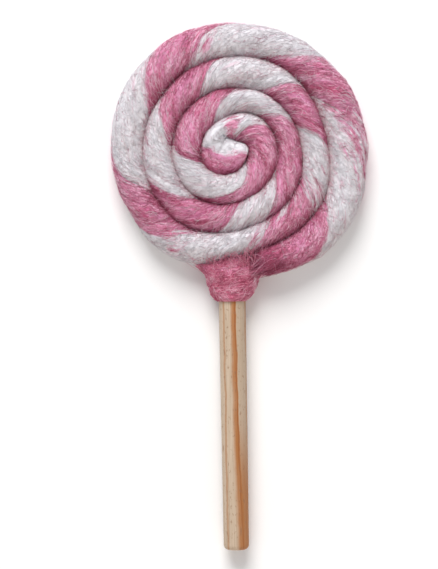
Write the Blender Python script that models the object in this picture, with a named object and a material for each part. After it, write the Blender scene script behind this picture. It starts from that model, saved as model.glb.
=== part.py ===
"""Felted wool lollipop, lying on its back with its spiral face up.

A rope twisted from one pink and one white strand is wound into a flat coil. A pink collar
holds the coil on a wooden stick. Metres, +Z up. The origin is under the inner end of the
rope, on the surface that the coil rests on. The stick runs along -Y.
"""
import math

import bmesh
import bpy
from mathutils import Vector

MM = 0.001

# The coil. Angles are in degrees, clockwise from the inner end of the groove between its
# turns, as seen from above. The groove winds about the eye of the coil.
EYE_Y = 1.2 * MM
GROOVE_FROM = 104.0
GROOVE_STEP = 45.0
# Distance of the groove from the eye, in mm, at every eighth of a turn, one row for a turn.
GROOVE_RADII = (
    4.7, 4.4, 6.4, 5.8, 6.7, 7.7, 8.5, 8.9,
    10.3, 14.2, 15.5, 15.5, 15.8, 17.2, 17.5, 18.3,
    19.7, 21.4, 22.7, 24.2, 24.3, 26.7, 26.9, 27.2,
    29.3, 31.3, 31.0, 33.2, 32.0, 37.1, 36.3, 38.4,
    40.3, 41.9, 43.5, 44.3, 40.2, 33.0,
)
FULL_TURN = 360.0
# Inside this angle the inner end of the rope lies folded about the groove's end.
FOLD_ANGLE = 225.0
ROPE_FROM = 115.0
ROPE_TO = 1623.0

# Swellings and dents of the rope's outer side: the angle, the reach to each side of it, and
# how far the side stands out there, in mm.
OUTER_DENTS = (
    (1289.0, 9.0, 1.1), (1331.0, 9.0, -0.6), (1426.0, 12.0, 0.7), (1460.0, 8.0, -0.2),
    (1514.0, 5.0, 0.5), (1553.0, 8.0, -0.6), (1592.0, 6.0, 0.3),
)

# The rope. The two lengths of its rounded ends are angles as well.
ROPE_THICKNESS = 12.0 * MM
ROPE_FLAT = 0.7 * MM
ROPE_SQUARENESS = 2.3
TURN_GAP = 0.28 * MM
STRAND_GAP = 0.34 * MM
STRAND_VALLEY = 0.07
SIDE_VALLEY = 0.03
EYE_RADIUS = 0.5 * MM
INNER_END = 22.0
OUTER_END = 8.0
SMALLEST_END = 0.02
STATION_STEP = 2.8 * MM
SMALL_ANGLE = 0.5
ARC_SIDES = 8
SPLIT_SIDES = 4

# The twist in half turns through the eye of the coil, by angle, and then where each change of
# colour crosses the inner side, the crest and the outer side of the rope, by angle.
EYE_TWIST = (
    (0.0, -0.10), (170.0, -0.09), (234.0, -0.05), (280.0, 0.03), (305.0, 0.45), (395.0, 0.58),
)
COLOUR_CHANGES = (
    (403.0, 410.0, 432.0), (494.0, 531.0, 592.0), (625.0, 635.0, 645.0),
    (706.0, 727.0, 743.0), (776.0, 784.0, 796.0), (852.0, 866.0, 886.0),
    (902.0, 912.0, 920.0), (953.0, 969.0, 984.0), (1012.0, 1027.0, 1043.0),
    (1071.0, 1077.0, 1086.0), (1125.0, 1132.0, 1140.0), (1165.0, 1171.0, 1182.0),
    (1202.0, 1210.0, 1218.0), (1244.0, 1252.0, 1261.0), (1296.0, 1311.0, 1320.0),
    (1341.0, 1347.0, 1356.0), (1391.0, 1403.0, 1413.0), (1430.0, 1439.0, 1448.0),
    (1477.0, 1490.0, 1500.0), (1513.0, 1525.0, 1541.0), (1572.0, 1581.0, 1591.0),
    (1625.0, 1640.0, 1655.0),
)
# The twist at a change's first and last angle, in half turns from the crest.
CHANGE_REACH = 0.3
TWIST_SMOOTHING = (-6.0, -2.0, 2.0, 6.0)

# The stick
STICK_X = 0.37 * MM
STICK_TOP_Y = -36.2 * MM
STICK_END_Y = -123.7 * MM
STICK_TOP_RADIUS = 4.28 * MM
STICK_END_RADIUS = 3.98 * MM
STICK_ROUNDING = 1.6 * MM
STICK_SIDES = 32
ROUNDING_SEGMENTS = 4

# The collar, in mm: place along Y, half widths to the left and right, and half depth, from its
# lower edge upwards.
COLLAR_SECTIONS = (
    (-45.5, 4.50, 4.30, 4.50),
    (-45.1, 5.10, 4.60, 4.90),
    (-44.5, 5.85, 5.60, 5.15),
    (-43.6, 6.40, 6.30, 5.30),
    (-42.4, 6.90, 6.90, 5.45),
    (-40.6, 7.35, 7.75, 5.65),
    (-38.6, 7.85, 8.15, 5.85),
    (-37.6, 8.15, 8.80, 5.90),
    (-36.4, 8.50, 9.80, 5.85),
    (-35.0, 8.30, 10.60, 5.40),
    (-33.8, 7.60, 10.60, 4.60),
    (-32.6, 6.40, 9.80, 3.40),
    (-31.4, 4.60, 7.60, 2.00),
)
COLLAR_SIDES = 28
COLLAR_GAP = 0.3 * MM
# The stretches of the rope, by angle, that the collar is seated on.
SEATED_TURN = (1215.0, 1350.0)
SEATED_END = (1560.0, ROPE_TO)
SOCKET_END_Y = -49.0 * MM

ROPE_MIDDLE_Z = ROPE_THICKNESS / 2 - ROPE_FLAT


def clear_objects():
    for item in list(bpy.data.objects):
        bpy.data.objects.remove(item, do_unlink=True)


def wool(name, colour):
    """Matt felted wool of one colour."""
    material = bpy.data.materials.new(name)
    material.use_nodes = True
    shader = material.node_tree.nodes["Principled BSDF"]
    shader.inputs["Base Color"].default_value = colour
    shader.inputs["Roughness"].default_value = 0.95
    shader.inputs["Metallic"].default_value = 0.0
    return material


def wood(name, colour):
    """Pale bare wood."""
    material = wool(name, colour)
    material.node_tree.nodes["Principled BSDF"].inputs["Roughness"].default_value = 0.62
    return material


def add_object(name, bm, material):
    mesh = bpy.data.meshes.new(name)
    bm.to_mesh(mesh)
    bm.free()
    mesh.materials.append(material)
    mesh.shade_smooth()
    mesh.set_sharp_from_angle(angle=math.radians(50.0))
    item = bpy.data.objects.new(name, mesh)
    bpy.context.scene.collection.objects.link(item)
    return item


def groove_point(angle):
    """The point of the groove at an angle from its inner end, on the resting plane."""
    place = angle / GROOVE_STEP
    first = min(max(int(math.floor(place)), 0), len(GROOVE_RADII) - 2)
    part = place - first
    before = GROOVE_RADII[max(first - 1, 0)]
    start = GROOVE_RADII[first]
    end = GROOVE_RADII[first + 1]
    after = GROOVE_RADII[min(first + 2, len(GROOVE_RADII) - 1)]
    start_slope = (end - before) / 2
    end_slope = (after - start) / 2
    rise = end - start
    radius = start + start_slope * part
    radius += (3 * rise - 2 * start_slope - end_slope) * part ** 2
    radius += (start_slope + end_slope - 2 * rise) * part ** 3
    turn = math.radians(GROOVE_FROM - angle)
    return Vector((radius * MM * math.cos(turn), radius * MM * math.sin(turn) + EYE_Y, 0.0))


def rope_edges(angle):
    """The two sides of the rope. Inside the first turn it folds about the groove's end."""
    outer = groove_point(angle)
    if angle >= FULL_TURN:
        return groove_point(angle - FULL_TURN), outer
    inner = groove_point(max(FOLD_ANGLE - angle, 0.0))
    return inner + (outer - inner).normalized() * EYE_RADIUS, outer


def half_turns(angle):
    """Twist of the rope in half turns. It is whole where a colour change is on the crest."""
    knots = list(EYE_TWIST)
    for number, (inside, crest, outside) in enumerate(COLOUR_CHANGES, 1):
        knots.append((inside, number - CHANGE_REACH))
        knots.append((crest, number))
        knots.append((outside, number + CHANGE_REACH))
    for (start, low), (end, high) in zip(knots, knots[1:]):
        if angle <= end:
            return low + (high - low) * (angle - start) / (end - start)
    return knots[-1][1]


def split_angle(angle):
    """Direction of the split between the strands, in the rope's own section."""
    turns = sum(half_turns(angle + step) for step in TWIST_SMOOTHING) / len(TWIST_SMOOTHING)
    return math.radians(90.0 - 180.0 * turns)


def end_fullness(angle):
    """1 along the rope, falling to nothing at its two rounded ends."""
    left = min((angle - ROPE_FROM) / INNER_END, (ROPE_TO - angle) / OUTER_END)
    left = min(max(left, SMALLEST_END), 1.0)
    return math.sqrt(1.0 - (1.0 - left) ** 2)


def rounded(value):
    """A sine or cosine, pushed outwards so that the rope's section is a little square."""
    return math.copysign(abs(value) ** (2.0 / ROPE_SQUARENESS), value)


def swelling(angle):
    """How far the rope's outer side stands out at an angle."""
    return sum(rise * MM * math.exp(-((angle - middle) / reach) ** 2)
               for middle, reach, rise in OUTER_DENTS)


def skin_point(angle, around, valley, growth=0.0):
    """A point of the rope's skin. Valley is 1 where the strands meet, and the skin dips."""
    inner, outer = rope_edges(angle)
    across = outer - inner
    full = end_fullness(angle)
    half_height = ROPE_THICKNESS / 2 * full
    half_width = across.length / 2 - TURN_GAP / 2
    if angle > FULL_TURN:
        half_width *= full
    sideways = rounded(math.cos(around)) * (half_width * (1.0 - SIDE_VALLEY * valley) + growth)
    upwards = rounded(math.sin(around)) * (half_height * (1.0 - STRAND_VALLEY * valley) + growth)
    sideways += max(math.cos(around), 0.0) ** 2 * swelling(angle)
    point = (inner + outer) / 2 + across.normalized() * sideways
    point.z = max(ROPE_MIDDLE_Z + upwards, -growth)
    return point


def stations(first, last):
    """Angles along the rope, about one step apart on its outer side."""
    marks = [first]
    travelled = 0.0
    angle = first
    while angle < last - 2 * SMALL_ANGLE:
        travelled += (groove_point(angle + SMALL_ANGLE) - groove_point(angle)).length
        angle += SMALL_ANGLE
        if travelled >= STATION_STEP:
            marks.append(angle)
            travelled = 0.0
    marks.append(last)
    return marks


def loft(rings, turned=()):
    """A closed body through rings of points, in triangles. The sides whose number is in
    turned are halved the other way, so that two facing sides stay parallel."""
    bm = bmesh.new()
    loops = [[bm.verts.new(point) for point in ring] for ring in rings]
    count = len(loops[0])
    for lower, upper in zip(loops, loops[1:]):
        for side in range(count):
            ahead = (side + 1) % count
            corners = (lower[side], lower[ahead], upper[ahead], upper[side])
            if side in turned:
                corners = (lower[ahead], upper[ahead], upper[side], lower[side])
            bm.faces.new((corners[0], corners[1], corners[2]))
            bm.faces.new((corners[0], corners[2], corners[3]))
    for loop in (loops[0], loops[-1]):
        middle = sum((vertex.co for vertex in loop), Vector()) / count
        tip = bm.verts.new(middle)
        for side in range(count):
            bm.faces.new((tip, loop[side], loop[(side + 1) % count]))
    bmesh.ops.recalc_face_normals(bm, faces=bm.faces)
    return bm


def strand_ring(angle, half):
    """One strand's section: half of the rope's skin, closed along the split."""
    split = split_angle(angle)
    inner, outer = rope_edges(angle)
    away = STRAND_GAP / ((outer - inner).length + ROPE_THICKNESS) * 2
    start = split + math.pi * (half - 1) + away
    end = split + math.pi * half - away
    ring = []
    for side in range(ARC_SIDES + 1):
        around = start + (end - start) * side / ARC_SIDES
        valley = (1.0 + math.cos(2.0 * (around - split))) / 2
        ring.append(skin_point(angle, around, valley))
    first = ring[0]
    last = ring[-1]
    for side in range(1, SPLIT_SIDES):
        ring.append(last.lerp(first, side / SPLIT_SIDES))
    return ring


def make_strand(name, half, material):
    """Half 0 is the strand before the split and half 1 the one after it."""
    rings = [strand_ring(angle, half) for angle in stations(ROPE_FROM, ROPE_TO)]
    split_sides = range(ARC_SIDES, ARC_SIDES + SPLIT_SIDES) if half else ()
    return add_object(name, loft(rings, split_sides), material)


def make_rope_cutter(name, stretch, material):
    """A stretch of the whole rope, a little fatter, to seat the collar on."""
    rings = []
    sides = 2 * ARC_SIDES
    for angle in stations(*stretch):
        split = split_angle(angle)
        directions = [split + 2.0 * math.pi * side / sides for side in range(sides)]
        rings.append([skin_point(angle, around, 0.0, COLLAR_GAP) for around in directions])
    return hide_cutter(add_object(name, loft(rings), material))


def hide_cutter(item):
    item.hide_render = True
    item.display_type = "WIRE"
    return item


def cut(item, cutter):
    modifier = item.modifiers.new("Cut " + cutter.name, "BOOLEAN")
    modifier.operation = "DIFFERENCE"
    modifier.solver = "EXACT"
    modifier.object = cutter


def stick_radius(y):
    part = (y - STICK_TOP_Y) / (STICK_END_Y - STICK_TOP_Y)
    return STICK_TOP_RADIUS + (STICK_END_RADIUS - STICK_TOP_RADIUS) * part


def make_rod(name, top, end, top_radius, end_radius, rounding, material):
    """A round rod along -Y, with its far end rounded over."""
    bm = bmesh.new()
    bmesh.ops.create_cone(bm, cap_ends=True, segments=STICK_SIDES, radius1=top_radius,
                          radius2=end_radius, depth=top - end)
    if rounding:
        far = [edge for edge in bm.edges if all(vertex.co.z > 0.0 for vertex in edge.verts)]
        bmesh.ops.bevel(bm, geom=far, offset=rounding, segments=ROUNDING_SEGMENTS,
                        profile=0.5, affect="EDGES", material=-1)
    for vertex in bm.verts:
        along = vertex.co.z
        vertex.co = Vector((STICK_X + vertex.co.x, (top + end) / 2 - along,
                            ROPE_MIDDLE_Z + vertex.co.y))
    bmesh.ops.recalc_face_normals(bm, faces=bm.faces)
    return add_object(name, bm, material)


def make_collar(material):
    """The felted wrap: a cup round the stick that climbs over the edge of the coil."""
    rings = []
    for along, left, right, half_depth in COLLAR_SECTIONS:
        ring = []
        for side in range(COLLAR_SIDES):
            around = 2.0 * math.pi * side / COLLAR_SIDES
            half_width = left + (right - left) * (1.0 + math.cos(around)) / 2
            x = STICK_X + half_width * MM * math.cos(around)
            z = ROPE_MIDDLE_Z + half_depth * MM * math.sin(around)
            ring.append(Vector((x, along * MM, max(z, 0.0))))
        rings.append(ring)
    collar = add_object("pink_wool_collar", loft(rings), material)
    cut(collar, make_rope_cutter("turn_cutter", SEATED_TURN, material))
    cut(collar, make_rope_cutter("end_cutter", SEATED_END, material))
    socket_top_y = STICK_TOP_Y + COLLAR_GAP
    socket = make_rod("socket_cutter", socket_top_y, SOCKET_END_Y,
                      stick_radius(socket_top_y) + COLLAR_GAP,
                      stick_radius(SOCKET_END_Y) + COLLAR_GAP, 0.0, material)
    cut(collar, hide_cutter(socket))


clear_objects()
pink = wool("pink wool", (0.45, 0.16, 0.26, 1.0))
white = wool("white wool", (0.66, 0.60, 0.64, 1.0))
pale_wood = wood("pale wood", (0.60, 0.40, 0.24, 1.0))
make_strand("pink_wool_strand", 0, pink)
make_strand("white_wool_strand", 1, white)
make_collar(pink)
make_rod("wooden_stick", STICK_TOP_Y, STICK_END_Y, STICK_TOP_RADIUS, STICK_END_RADIUS,
         STICK_ROUNDING, pale_wood)
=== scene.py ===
"""Felted wool lollipop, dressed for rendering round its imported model.

It lies on its back with the spiral up, and its stick runs along -Y. Metres, +Z up. The rope
of wool comes first, then its loose fibres, the collar, the stick, the floor and the light.
"""
import itertools
import math

import bmesh
import bpy
import numpy as np
from mathutils import Matrix, Vector


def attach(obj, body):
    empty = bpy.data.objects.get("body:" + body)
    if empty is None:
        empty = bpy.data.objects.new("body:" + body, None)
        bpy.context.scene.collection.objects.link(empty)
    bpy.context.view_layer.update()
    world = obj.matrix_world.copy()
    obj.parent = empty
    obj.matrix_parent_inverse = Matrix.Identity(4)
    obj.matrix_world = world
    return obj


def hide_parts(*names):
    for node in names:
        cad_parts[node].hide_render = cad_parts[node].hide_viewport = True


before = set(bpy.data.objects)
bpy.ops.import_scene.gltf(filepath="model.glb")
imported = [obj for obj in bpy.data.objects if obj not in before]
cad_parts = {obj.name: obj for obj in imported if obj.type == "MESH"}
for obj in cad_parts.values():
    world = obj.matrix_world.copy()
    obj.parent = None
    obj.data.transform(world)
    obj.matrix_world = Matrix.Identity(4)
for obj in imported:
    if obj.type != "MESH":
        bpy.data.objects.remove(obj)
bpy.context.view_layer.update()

# The two strands of the rope. A pink and a white roving of wool are felted by hand into soft
# half-round strands and twisted together. The rope is wound flat, outwards from its eye, and
# the turns are felted to each other where they touch.
MM = 0.001
EYE_Y = 1.2 * MM
GROOVE_FROM = 104.0
GROOVE_STEP = 45.0
# Distance of the groove from the eye, in mm, at every eighth of a turn, one row for a turn.
GROOVE_RADII = (
    4.7, 4.4, 6.4, 5.8, 6.7, 7.7, 8.5, 8.9,
    10.3, 14.2, 15.5, 15.5, 15.8, 17.2, 17.5, 18.3,
    19.7, 21.4, 22.7, 24.2, 24.3, 26.7, 26.9, 27.2,
    29.3, 31.3, 31.0, 33.2, 32.0, 37.1, 36.3, 38.4,
    40.3, 41.9, 43.5, 44.3, 40.2, 33.0,
)
FULL_TURN = 360.0
FOLD_ANGLE = 225.0
ROPE_FROM = 115.0
ROPE_TO = 1623.0
ROPE_THICKNESS = 12.0 * MM
ROPE_MIDDLE_Z = 5.3 * MM
ROPE_SQUARENESS = 2.05
ROPE_RADIUS = 5.8 * MM
EYE_RADIUS = 0.5 * MM
# The wool is bunched up on the inner side of the fold, and stays high there.
FOLD_MIDDLE = 270.0
FOLD_REACH = 50.0
FOLD_FULLNESS = 6.0
INNER_END = 22.0
OUTER_END = 8.0
SMALLEST_END = 0.02
# The twist in half turns through the eye of the coil, by angle, and then where each change of
# colour crosses the inner side, the crest and the outer side of the rope, by angle.
EYE_TWIST = (
    (0.0, -0.10), (170.0, -0.09), (234.0, -0.05), (280.0, 0.03), (305.0, 0.45), (395.0, 0.58),
)
COLOUR_CHANGES = (
    (403.0, 410.0, 432.0), (494.0, 531.0, 592.0), (625.0, 635.0, 645.0),
    (706.0, 727.0, 743.0), (776.0, 784.0, 796.0), (852.0, 866.0, 886.0),
    (902.0, 912.0, 920.0), (953.0, 969.0, 984.0), (1012.0, 1027.0, 1043.0),
    (1071.0, 1077.0, 1086.0), (1125.0, 1132.0, 1140.0), (1165.0, 1171.0, 1182.0),
    (1202.0, 1210.0, 1218.0), (1244.0, 1252.0, 1261.0), (1296.0, 1311.0, 1320.0),
    (1341.0, 1347.0, 1356.0), (1391.0, 1403.0, 1413.0), (1430.0, 1439.0, 1448.0),
    (1477.0, 1490.0, 1500.0), (1513.0, 1525.0, 1541.0), (1572.0, 1581.0, 1591.0),
    (1625.0, 1640.0, 1655.0),
)
# The twist at a change's first and last angle, in half turns from the crest.
CHANGE_REACH = 0.3
TWIST_SMOOTHING = (-6.0, -2.0, 2.0, 6.0)
STRAND_VALLEY = 0.06
SIDE_VALLEY = 0.03
# How far the strands swell to meet their neighbours, and how each rolls in under the other.
SWELL = 0.05 * MM
TURN_OVERLAP = 0.8 * MM
STRAND_OVERLAP = 0.5 * MM
EDGE_ROUND = 0.6 * MM
EDGE_ROLL = 380.0
SKIN_SHARE = 0.84
STRAND_RINGS = 1240
STRAND_SIDES = 68
# Dents and swellings of the outer side where the strands press on it: the angle, how far it
# runs to each side, and how far it stands out, in mm.
OUTER_DENTS = (
    (1289.0, 9.0, 1.1), (1331.0, 9.0, -0.6), (1426.0, 12.0, 0.7), (1460.0, 8.0, -0.2),
    (1514.0, 5.0, 0.5), (1553.0, 8.0, -0.6), (1592.0, 6.0, 0.3),
)
NOISE_CELLS = 48
WOOL_SEED = 11
wool_cells = np.random.default_rng(WOOL_SEED).uniform(-1.0, 1.0, (NOISE_CELLS,) * 3)


def soft_noise(places):
    """Smooth noise from -1 to 1 at each place, wrapped over a block of random cells."""
    whole = np.floor(places).astype(int)
    part = places - whole
    part = part * part * (3.0 - 2.0 * part)
    total = 0.0
    for corner in itertools.product((0, 1), repeat=3):
        at = (whole + corner) % NOISE_CELLS
        weight = np.prod(np.where(corner, part, 1.0 - part), axis=-1)
        total = total + weight * wool_cells[at[..., 0], at[..., 1], at[..., 2]]
    return total


def layered(place, layers):
    """Noise in layers: the height of each, its size in mm and its shift."""
    return sum(height * soft_noise(place / size + shift) for height, size, shift in layers)


def groove_points(angle):
    """Points of the groove between the turns, at angles from its inner end."""
    place = angle / GROOVE_STEP
    radii = np.array(GROOVE_RADII)
    first = np.clip(np.floor(place).astype(int), 0, len(radii) - 2)
    part = place - first
    start = radii[first]
    end = radii[first + 1]
    start_slope = (end - radii[np.maximum(first - 1, 0)]) / 2
    end_slope = (radii[np.minimum(first + 2, len(radii) - 1)] - start) / 2
    rise = end - start
    radius = start + start_slope * part
    radius = radius + (3 * rise - 2 * start_slope - end_slope) * part ** 2
    radius = radius + (start_slope + end_slope - 2 * rise) * part ** 3
    turn = np.radians(GROOVE_FROM - angle)
    return np.stack((radius * MM * np.cos(turn), radius * MM * np.sin(turn) + EYE_Y), -1)


def rope_edges(angle):
    """The two sides of the rope. Inside the first turn it folds about the groove's end."""
    outer = groove_points(angle)
    fold = groove_points(np.maximum(FOLD_ANGLE - angle, 0.0))
    away = outer - fold
    fold = fold + away / np.linalg.norm(away, axis=-1, keepdims=True) * EYE_RADIUS
    wound = groove_points(np.maximum(angle - FULL_TURN, 0.0))
    return np.where((angle >= FULL_TURN)[..., None], wound, fold), outer


def split_angle(angle):
    """Direction of the split between the strands, in the rope's own section."""
    knots = list(EYE_TWIST)
    for number, (inside, crest, outside) in enumerate(COLOUR_CHANGES, 1):
        knots.append((inside, number - CHANGE_REACH))
        knots.append((crest, number))
        knots.append((outside, number + CHANGE_REACH))
    at, half_turns = np.array(knots).T
    turns = sum(np.interp(angle + step, at, half_turns) for step in TWIST_SMOOTHING)
    return np.radians(90.0 - 180.0 * turns / len(TWIST_SMOOTHING))


def rounded(value, squareness):
    return np.sign(value) * np.abs(value) ** (2.0 / squareness)


def on_rope(angle, around, lift=0.0, valley=0.0):
    """Points on the rope's skin or above it. Around is 0 outwards and a quarter turn up."""
    inner, outer = rope_edges(angle)
    across = outer - inner
    width = np.linalg.norm(across, axis=-1)
    left = np.minimum((angle - ROPE_FROM) / INNER_END, (ROPE_TO - angle) / OUTER_END)
    full = np.sqrt(1.0 - (1.0 - np.clip(left, SMALLEST_END, 1.0)) ** 2)
    half_width = width / 2 * np.where(angle > FULL_TURN, full, 1.0)
    half_height = ROPE_THICKNESS / 2 * full
    bunched = np.exp(-((angle - FOLD_MIDDLE) / FOLD_REACH) ** 2) * np.maximum(-np.cos(around), 0.0)
    upright = ROPE_SQUARENESS + FOLD_FULLNESS * bunched
    across_by = half_width * (1.0 - SIDE_VALLEY * valley) + lift
    up_by = half_height * (1.0 - STRAND_VALLEY * valley) + lift
    sideways = rounded(np.cos(around), ROPE_SQUARENESS) * across_by
    upwards = rounded(np.sin(around), upright) * up_by
    flat = (inner + outer) / 2 + across * (sideways / width)[..., None]
    swelling = sum(rise * MM * np.exp(-((angle - middle) / reach) ** 2)
                   for middle, reach, rise in OUTER_DENTS)
    outwards = np.maximum(np.cos(around), 0.0) ** 2 * swelling / width
    flat = flat + across * outwards[..., None]
    height = np.maximum(ROPE_MIDDLE_Z + upwards, 0.0)
    return np.concatenate((flat, height[..., None]), -1)


def wound_place(along, turned):
    """A place on the rope laid straight and untwisted, in mm: two across and one along."""
    radius = ROPE_RADIUS / MM
    return np.stack((radius * np.cos(turned), radius * np.sin(turned), along / MM), -1)


# Lumps, bundles and locks of wool that run along the twist: their height and size, in mm.
WOOL_RELIEF = (
    (0.24, (3.4, 3.4, 6.0), 7.3), (0.09, (1.3, 1.3, 4.5), 0.0), (0.03, (0.55, 0.55, 1.6), 21.7),
)
# Long and short locks that stray over the edge of a strand: their shares and sizes, in mm.
STRAY_LOCKS = ((0.65, (0.8, 0.8, 5.0), 41.0), (0.35, (0.45, 0.45, 1.6), 5.5))
# Stretches where one colour is worked over the other: the angle and its reach, the place round
# the rope and its reach, all in degrees, and the lean to pink, in mm.
MINGLED = (
    (380.0, 19.0, 100.0, 95.0, 1.5), (1200.0, 10.0, 70.0, 70.0, -0.8),
    (1235.0, 16.0, 145.0, 45.0, 0.0), (1258.0, 7.0, 80.0, 80.0, 0.0),
    (1305.0, 7.0, 90.0, 80.0, 0.2), (1441.0, 8.0, 70.0, 70.0, 0.9),
    (1534.0, 25.0, 50.0, 65.0, 1.0), (1104.0, 16.0, 125.0, 40.0, -0.7),
    (1556.0, 18.0, 95.0, 60.0, -1.0), (1212.0, 11.0, 75.0, 80.0, 0.1),
)
# How far locks stray, and how far from the edge wool can still be worked over, all in mm.
STRAY = 1.7
MINGLED_STRAY = 2.8
MINGLED_LEAN = 2.2
MINGLED_FROM = 0.02


def pink_lean(place, angle, around, turned):
    """How far a place lies on the pink side, in mm, with locks that stray over the edge."""
    streak = layered(place, STRAY_LOCKS)
    lean = STRAY * streak - ROPE_RADIUS / MM * np.arcsin(np.sin(turned))
    side_on = np.degrees(np.arctan2(np.sin(around), np.cos(around)))
    for middle, reach, side, side_reach, bias in MINGLED:
        away = ((angle - middle) / reach) ** 2 + ((side_on - side) / side_reach) ** 2
        share = np.exp(-away)
        own = np.clip(lean, -MINGLED_LEAN, MINGLED_LEAN)
        mixed = own + share * (bias + MINGLED_STRAY * streak - own)
        lean = np.where(share > MINGLED_FROM, mixed, lean)
    return lean


rope_angles = np.arange(ROPE_FROM, ROPE_TO + 1.0, 1.0)
rope_sides = rope_edges(rope_angles)
rope_middle = (rope_sides[0] + rope_sides[1]) / 2
rope_steps = np.linalg.norm(np.diff(rope_middle, axis=0), axis=-1)
rope_lengths = np.concatenate(([0.0], np.cumsum(rope_steps)))
rope_length = rope_lengths[-1]


def angle_at(along):
    return np.interp(along, rope_lengths, rope_angles)


def neighbours(angle, around):
    """How deep a place lies between this turn and the next, from 0 on a crest to 1."""
    beside = np.where(np.cos(around) > 0.0, angle < ROPE_TO - FULL_TURN, angle > FULL_TURN)
    beside = np.where(angle < FULL_TURN, 1.0, beside)
    return beside * np.abs(np.cos(around)) ** 3


def make_tube(rings, sides):
    """A closed tube about Z, from z = 0 to 1 and of radius 1, with many rings of faces."""
    bm = bmesh.new()
    bmesh.ops.create_cone(bm, cap_ends=True, segments=sides, radius1=1.0, radius2=1.0, depth=1.0)
    bmesh.ops.translate(bm, verts=bm.verts, vec=(0.0, 0.0, 0.5))
    long_edges = [edge for edge in bm.edges if edge.verts[0].co.z != edge.verts[1].co.z]
    bmesh.ops.subdivide_edges(bm, edges=long_edges, cuts=rings - 1)
    places = np.array([vertex.co for vertex in bm.verts])
    share = np.arctan2(places[:, 1], places[:, 0]) / (2.0 * math.pi) % 1.0
    return bm, np.where(share > 1.0 - 1e-6, 0.0, share), places[:, 2]


def move_points(bm, points):
    for vertex, point in zip(bm.verts, points.tolist()):
        vertex.co = point
    bmesh.ops.recalc_face_normals(bm, faces=bm.faces)


def add_piece(name, bm, material):
    mesh = bpy.data.meshes.new(name)
    bm.to_mesh(mesh)
    bm.free()
    mesh.materials.append(material)
    mesh.shade_smooth()
    piece = bpy.data.objects.new(name, mesh)
    bpy.context.scene.collection.objects.link(piece)
    return piece


def store(piece, name, kind, values):
    field = "vector" if kind == "FLOAT_VECTOR" else "value"
    layer = piece.data.attributes.new(name, kind, "POINT")
    layer.data.foreach_set(field, np.asarray(values, np.float32).ravel())


def new_material(name):
    material = bpy.data.materials.new(name)
    material.use_nodes = True
    return material, material.node_tree, material.node_tree.nodes["Principled BSDF"]


def add_node(tree, kind, inputs=None, **settings):
    """Adds a shader node. An input is a value, or the socket that feeds it."""
    node = tree.nodes.new(kind)
    for name, value in settings.items():
        setattr(node, name, value)
    for name, value in (inputs or {}).items():
        if isinstance(value, bpy.types.NodeSocket):
            tree.links.new(value, node.inputs[name])
        else:
            node.inputs[name].default_value = value
    return node


def attribute(tree, name, output="Fac"):
    return add_node(tree, "ShaderNodeAttribute", attribute_name=name).outputs[output]


def ramp(tree, fac, *stops):
    """A colour ramp. Each stop is a position and a colour."""
    node = add_node(tree, "ShaderNodeValToRGB", {"Fac": fac})
    elements = node.color_ramp.elements
    while len(elements) < len(stops):
        elements.new(1.0)
    for element, (position, colour) in zip(elements, stops):
        element.position = position
        element.color = (*colour, 1.0)
    return node.outputs["Color"]


def spread(tree, value, low, high, to_low=0.0, to_high=1.0, how="SMOOTHSTEP"):
    node = add_node(tree, "ShaderNodeMapRange", {
        "Value": value, "From Min": low, "From Max": high, "To Min": to_low, "To Max": to_high,
    }, interpolation_type=how)
    return node.outputs["Result"]


def combine(tree, operation, *values):
    node = add_node(tree, "ShaderNodeMath", operation=operation)
    for index, value in enumerate(values):
        if isinstance(value, bpy.types.NodeSocket):
            tree.links.new(value, node.inputs[index])
        else:
            node.inputs[index].default_value = value
    return node.outputs["Value"]


def blended(tree, fac, first, second):
    node = add_node(tree, "ShaderNodeMix", data_type="RGBA", blend_type="MIX")
    for index, value in ((0, fac), (6, first), (7, second)):
        if isinstance(value, bpy.types.NodeSocket):
            tree.links.new(value, node.inputs[index])
        elif index:
            node.inputs[index].default_value = (*value, 1.0)
        else:
            node.inputs[index].default_value = value
    return node.outputs[2]


def grain(tree, vector, scale, detail=2.0, distortion=0.0, shift=0.0):
    """Noise that is stretched by scale, spread out to run from 0 to 1."""
    mapping = add_node(tree, "ShaderNodeMapping", {
        "Vector": vector, "Scale": scale, "Location": (shift, shift, shift),
    })
    noise = add_node(tree, "ShaderNodeTexNoise", {
        "Vector": mapping.outputs["Vector"], "Scale": 1.0, "Detail": detail,
        "Roughness": 0.6, "Distortion": distortion,
    })
    return spread(tree, noise.outputs["Fac"], 0.3, 0.7, how="LINEAR")


def unevened(tree, value, hairs, amount):
    """A value that wavers from hair to hair, by up to half the amount."""
    waver = combine(tree, "SUBTRACT", hairs, 0.5)
    return combine(tree, "MULTIPLY_ADD", waver, amount, value)


def mixed_tones(tree, locks, hairs, patches, shares):
    """Where the wool lies between its darkest and its palest tone."""
    of_locks, of_hairs, of_patches, less = shares
    mixed = combine(tree, "ADD", combine(tree, "MULTIPLY", locks, of_locks),
                    combine(tree, "MULTIPLY", hairs, of_hairs))
    mixed = combine(tree, "SUBTRACT", mixed, less)
    return combine(tree, "MULTIPLY_ADD", patches, of_patches, mixed)


# The height of the hairs as a share of the locks', and felt's dull, soft sheen.
HAIR_HEIGHT = 0.6
FELT_ROUGHNESS = 0.95
FELT_SPECULAR = 0.15
FELT_SHEEN = 0.4
SHEEN_ROUGHNESS = 0.5


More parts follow.
